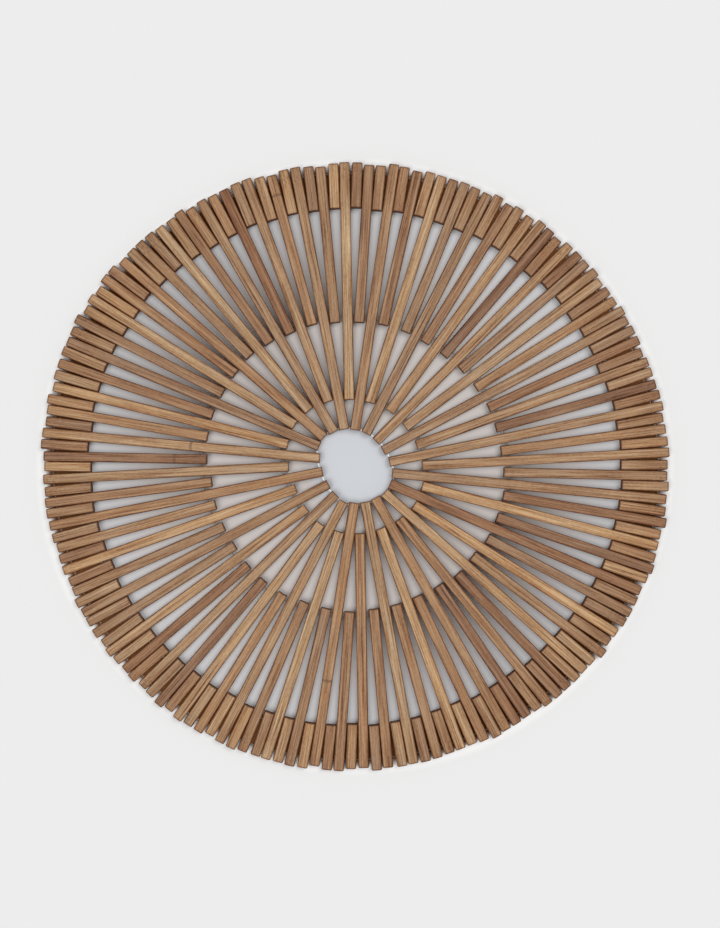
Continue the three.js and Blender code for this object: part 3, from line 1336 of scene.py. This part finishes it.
class SlatTree:
    """Geometry tree that lays pattern slats on their points."""

    INPUTS = {
        "Geometry": "Geometry",
        "Pattern": "Object",
        "Pattern Width": "Float",
        "Thickness Play": "Float",
        "Roll": "Float",
        "Seed": "Int",
        "Planed": "Material",
        "Cut": "Material",
    }

    def build(self) -> bpy.types.NodeTree:
        """Build the tree.

        Returns:
            The tree.
        """
        group = NodeGroup("lay_slats", "GeometryNodeTree", self.INPUTS, {"Geometry": "Geometry"})
        tree, wiring, given = group.open()
        index = wiring.add("GeometryNodeInputIndex").outputs[0]
        roll_share = self._random(wiring, -1.0, 1.0, index, given["Seed"], 0)
        thin_share = self._random(wiring, 0.0, 1.0, index, given["Seed"], 1)
        grain_seed = self._random(wiring, 0.0, 1.0, index, given["Seed"], 2)
        roll = wiring.math("MULTIPLY", roll_share, given["Roll"])
        half_width = wiring.math("MULTIPLY", given["Pattern Width"], 0.5)
        rise = wiring.math("ABSOLUTE", wiring.math("SINE", roll))
        lift = wiring.math("MULTIPLY", rise, half_width)
        lifted = wiring.add(
            "GeometryNodeSetPosition",
            {"Geometry": given["Geometry"], "Offset": wiring.joined(0.0, 0.0, lift)},
        )
        seeded = wiring.add(
            "GeometryNodeStoreNamedAttribute",
            {"Geometry": lifted.outputs[0], "Name": "seed", "Value": grain_seed},
            data_type="FLOAT",
            domain="POINT",
        )
        width_share = wiring.math("DIVIDE", self._named(wiring, "width"), given["Pattern Width"])
        thin = wiring.math("MULTIPLY", thin_share, given["Thickness Play"])
        pattern = wiring.add(
            "GeometryNodeObjectInfo", {"Object": given["Pattern"], "As Instance": True}
        )
        laid = wiring.add(
            "GeometryNodeInstanceOnPoints",
            {
                "Points": seeded.outputs[0],
                "Instance": pattern.outputs["Geometry"],
                "Rotation": wiring.joined(roll, 0.0, self._named(wiring, "heading")),
                "Scale": wiring.joined(1.0, width_share, wiring.math("SUBTRACT", 1.0, thin)),
            },
        )
        plain = wiring.add("GeometryNodeRealizeInstances", {"Geometry": laid.outputs[0]})
        slid, station = self._slide(wiring, plain.outputs[0])
        x, y, z = wiring.parts(self._named(wiring, "local", "FLOAT_VECTOR"))
        grain = wiring.add(
            "GeometryNodeStoreNamedAttribute",
            {
                "Geometry": slid,
                "Name": "grain",
                "Value": wiring.joined(wiring.math("SUBTRACT", station, x), y, z),
            },
            data_type="FLOAT_VECTOR",
            domain="POINT",
        )
        length = self._named(wiring, f"station_{INNER_END}")
        measured = wiring.add(
            "GeometryNodeStoreNamedAttribute",
            {
                "Geometry": grain.outputs[0],
                "Name": "to_tip",
                "Value": wiring.math("SUBTRACT", length, wiring.math("SUBTRACT", station, x)),
            },
            data_type="FLOAT",
            domain="POINT",
        )
        planed = wiring.add(
            "GeometryNodeSetMaterial",
            {"Geometry": measured.outputs[0], "Material": given["Planed"]},
        )
        finished = wiring.add(
            "GeometryNodeSetMaterial",
            {
                "Geometry": planed.outputs[0],
                "Selection": self._named(wiring, "cut_end", "BOOLEAN"),
                "Material": given["Cut"],
            },
        )
        wiring.add("NodeGroupOutput", {"Geometry": finished.outputs[0]})
        return tree

    @staticmethod
    def _named(wiring: Wiring, name: str, data_type: str = "FLOAT") -> Any:
        """Read a named attribute.

        Args:
            wiring: The tree's wiring.
            name: Name of the attribute.
            data_type: Blender's name for its type.

        Returns:
            The attribute's socket.
        """
        node = wiring.add("GeometryNodeInputNamedAttribute", {"Name": name}, data_type=data_type)
        return Wiring.socket(node.outputs, "Attribute")

    @staticmethod
    def _random(
        wiring: Wiring, low: float, high: float, index: Any, seed: Any, draw: int
    ) -> Any:
        """Draw a number for each slat.

        Args:
            wiring: The tree's wiring.
            low: Lowest number.
            high: Highest number.
            index: Socket with the slat's number.
            seed: Socket with the seed of the slats' kind.
            draw: Which of the slat's numbers this is.

        Returns:
            The number's socket.
        """
        node = wiring.add(
            "FunctionNodeRandomValue",
            {
                2: low,
                3: high,
                "ID": index,
                "Seed": wiring.math("ADD", seed, float(draw)),
            },
            data_type="FLOAT",
        )
        return node.outputs[1]

    def _slide(self, wiring: Wiring, geometry: Any) -> tuple[Any, Any]:
        """Slide each station of a slat to its own distance from the outer end.

        Args:
            wiring: The tree's wiring.
            geometry: Socket with the slats.

        Returns:
            The sockets of the slats and of the distances.
        """
        switch = wiring.add("GeometryNodeIndexSwitch", data_type="FLOAT")
        while len(switch.index_switch_items) <= INNER_END:
            switch.index_switch_items.new()
        station_number = self._named(wiring, "station", "INT")
        wiring.tree.links.new(station_number, Wiring.socket(switch.inputs, "Index"))
        for number in range(1, INNER_END + 1):
            distance = self._named(wiring, f"station_{number}")
            wiring.tree.links.new(distance, Wiring.socket(switch.inputs, str(number)))
        station = switch.outputs[0]
        shift = wiring.math("SUBTRACT", self._named(wiring, "nominal"), station)
        heading = self._named(wiring, "heading")
        offset = wiring.joined(
            wiring.math("MULTIPLY", wiring.math("COSINE", heading), shift),
            wiring.math("MULTIPLY", wiring.math("SINE", heading), shift),
            0.0,
        )
        moved = wiring.add("GeometryNodeSetPosition", {"Geometry": geometry, "Offset": offset})
        return moved.outputs[0], station


# Lines


@dataclass
class LineSet:
    """The clear lines on which the slats are strung."""

    plan: MatPlan
    nylon: bpy.types.Material
    white_nylon: bpy.types.Material
    thickness: float = 0.8 * MM
    sides: int = 8

    def tree(self) -> bpy.types.NodeTree:
        """Build the tree that makes a round line along a closed path.

        Returns:
            The tree.
        """
        group = NodeGroup(
            "round_line",
            "GeometryNodeTree",
            {
                "Geometry": "Geometry",
                "Thickness": "Float",
                "Sides": "Int",
                "Nylon": "Material",
            },
            {"Geometry": "Geometry"},
        )
        tree, wiring, given = group.open()
        path = wiring.add("GeometryNodeMeshToCurve", {"Mesh": given["Geometry"]})
        radius = wiring.math("MULTIPLY", given["Thickness"], 0.5)
        profile = wiring.add(
            "GeometryNodeCurvePrimitiveCircle",
            {"Resolution": given["Sides"], "Radius": radius},
            mode="RADIUS",
        )
        tube = wiring.add(
            "GeometryNodeCurveToMesh",
            {"Curve": path.outputs[0], "Profile Curve": profile.outputs[0]},
        )
        smooth = wiring.add("GeometryNodeSetShadeSmooth", {"Geometry": tube.outputs[0]})
        plain = wiring.add("GeometryNodeRealizeInstances", {"Geometry": smooth.outputs[0]})
        finished = wiring.add(
            "GeometryNodeSetMaterial",
            {"Geometry": plain.outputs[0], "Material": given["Nylon"]},
        )
        wiring.add("NodeGroupOutput", {"Geometry": finished.outputs[0]})
        return tree

    def build(self) -> list[tuple[Line, bpy.types.Object]]:
        """Make each line.

        Returns:
            Each line and its finished piece.
        """
        tree = self.tree()
        made = []
        for line in LINES:
            points = self.plan.line_points(line)
            edges = [(place, (place + 1) % len(points)) for place in range(len(points))]
            path = bpy.data.meshes.new(f"{line.name}_path")
            path.from_pydata(points, edges, [])
            # The innermost line takes the painted glint.
            nylon = self.white_nylon if line.ring is RingName.LONGEST_TIPS else self.nylon
            values = {"Thickness": self.thickness, "Sides": self.sides, "Nylon": nylon}
            made.append((line, grow(line.name, path, tree, values)))
        return made


# Mat


@dataclass
class Placemat:
    """The whole mat: its slats and the lines that they are strung on."""

    plan: MatPlan = field(default_factory=MatPlan)
    lot_count: int = 10
    own_node_count: int = 20

    def nodes_of(self, kind: SlatKind) -> list[str]:
        """Names of the solids that hold the slats of one kind.

        Args:
            kind: The kind of slat.

        Returns:
            The names.
        """
        if kind in LONG_KINDS:
            return [f"{kind.value}_slat_{n:02d}" for n in range(1, self.own_node_count + 1)]
        return [f"outer_slats_{n:02d}" for n in range(1, self.lot_count + 1)]

    def build(self) -> None:
        """Make every piece, hang it on the body, and hide the solids that it stands for."""
        groups = ShaderGroups()
        planed = PlanedBamboo().build(groups)
        cut = CutBamboo().build(groups)
        tree = SlatTree().build()
        for kind in SlatKind:
            piece = SlatSet(self.plan, kind, tree, planed, cut).build()
            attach(piece, BODY)
            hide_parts(*self.nodes_of(kind))
            LOG.info("%s: %d faces", piece.name, len(piece.data.polygons))
        # Painted glint: the innermost line is near-white and nearly opaque, standing for the
        # highlights on clear line.
        white_nylon = ClearNylon(
            name="white_nylon",
            tint=(252, 253, 253),
            haze=(246, 248, 249),
            roughness=0.15,
            clearness=0.05,
        )
        lines = LineSet(self.plan, ClearNylon().build(), white_nylon.build())
        for line, piece in lines.build():
            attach(piece, BODY)
            if line.stands_for:
                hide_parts(*line.stands_for)
            LOG.info("%s: %d faces", piece.name, len(piece.data.polygons))


# Studio


@dataclass
class Studio:
    """Camera, lights and floor."""

    camera_x: float = 2.93 * MM
    camera_y: float = 1.67 * MM
    camera_height: float = 783.5 * MM
    lens: float = 50.0
    sensor: float = 36.0
    floor_reach: float = 6.0
    floor_drop: float = 0.03 * MM
    dome_level: float = 0.27
    lamp_level: float = 0.375
    lamp_spread: float = math.radians(40)
    lamp_tilt: float = math.radians(28)
    lamps_from: tuple[float, float] = (math.radians(38), math.radians(218))
    backdrop: tuple[float, float, float] = (236, 236, 235)

    def camera(self) -> None:
        """Set the camera straight above the mat, with the picture's top along +Y."""
        data = bpy.data.cameras.new("camera")
        data.lens = self.lens
        data.sensor_width = self.sensor
        data.dof.use_dof = False
        camera = bpy.data.objects.new("camera", data)
        camera.location = (self.camera_x, self.camera_y, self.camera_height)
        bpy.context.scene.collection.objects.link(camera)
        bpy.context.scene.camera = camera

    def floor(self) -> None:
        """Lay the floor just under the slats."""
        reach, depth = self.floor_reach, -self.floor_drop
        corners = [(-reach, -reach), (reach, -reach), (reach, reach), (-reach, reach)]
        mesh = bpy.data.meshes.new("floor")
        mesh.from_pydata([(x, y, depth) for x, y in corners], [], [(0, 1, 2, 3)])
        mesh.materials.append(FloorPaint().build())
        floor = bpy.data.objects.new("floor", mesh)
        bpy.context.scene.collection.objects.link(floor)

    def lights(self) -> None:
        """Light the mat by an even dome and two wide soft lamps that face each other."""
        world = bpy.data.worlds.new("dome")
        bpy.context.scene.world = world
        world.use_nodes = True
        world.node_tree.nodes.clear()
        wiring = Wiring(world.node_tree)
        seen = wiring.add("ShaderNodeLightPath").outputs["Is Camera Ray"]
        level = wiring.mix(seen, (*(self.dome_level,) * 3, 1.0), linear(*self.backdrop))
        sky = wiring.add("ShaderNodeBackground", {"Color": level, "Strength": 1.0})
        wiring.add("ShaderNodeOutputWorld", {"Surface": sky.outputs[0]})
        for number, bearing in enumerate(self.lamps_from, start=1):
            data = bpy.data.lights.new(f"lamp_{number}", "SUN")
            data.energy = self.lamp_level * math.pi / math.cos(self.lamp_tilt)
            data.angle = self.lamp_spread
            lamp = bpy.data.objects.new(f"lamp_{number}", data)
            lean = Vector((math.cos(bearing), math.sin(bearing), 0.0))
            up = Vector((0.0, 0.0, math.cos(self.lamp_tilt)))
            towards = lean * math.sin(self.lamp_tilt) + up
            lamp.rotation_euler = towards.to_track_quat("Z", "Y").to_euler()
            bpy.context.scene.collection.objects.link(lamp)

    def build(self) -> None:
        """Set up the camera, the floor and the lights."""
        self.camera()
        self.floor()
        self.lights()
        view = bpy.context.scene.view_settings
        view.view_transform = "Standard"
        view.look = "None"


def main() -> None:
    """Build the scene and note its size."""
    logging.basicConfig(level=logging.INFO, format="%(message)s")
    Studio().build()
    Placemat().build()


if __name__ == "__main__":
    main()
